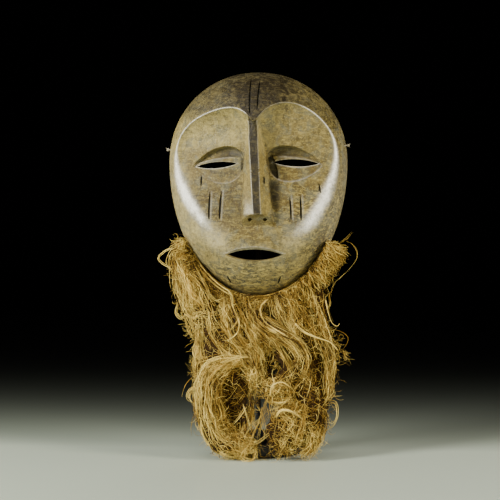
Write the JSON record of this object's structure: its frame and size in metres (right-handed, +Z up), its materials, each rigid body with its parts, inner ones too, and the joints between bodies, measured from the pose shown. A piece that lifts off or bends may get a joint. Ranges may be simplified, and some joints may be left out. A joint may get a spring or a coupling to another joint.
{
  "type": "carved wooden mask on a stand",
  "caption": "Oval carved mask, hollow behind, with a sunk heart-shaped face, slit eyes, open mouth and long plant-fibre beard, held up by a rod on a round foot.",
  "frame": {"origin": "middle of the round foot's underside, on the surface that it stands on", "axes": "the mask faces -Y, +X is to the right of someone who looks at its face, +Z is up along the rod"},
  "size_m": [0.2, 0.124, 0.409],
  "materials": {
    "carved_wood": "waxed, olive-brown with dark stains and worn light edges",
    "plant_fibre": "dry loose raffia strands",
    "twine": "dry twisted twine",
    "black_steel": "satin black paint"
  },
  "bodies": {
    "root": {"mask": "carved_wood", "fibre_beard": "plant_fibre", "side_tie_left": "twine", "side_tie_right": "twine", "stand_base": "black_steel", "stand_rod": "black_steel"}
  },
  "joints": []
}
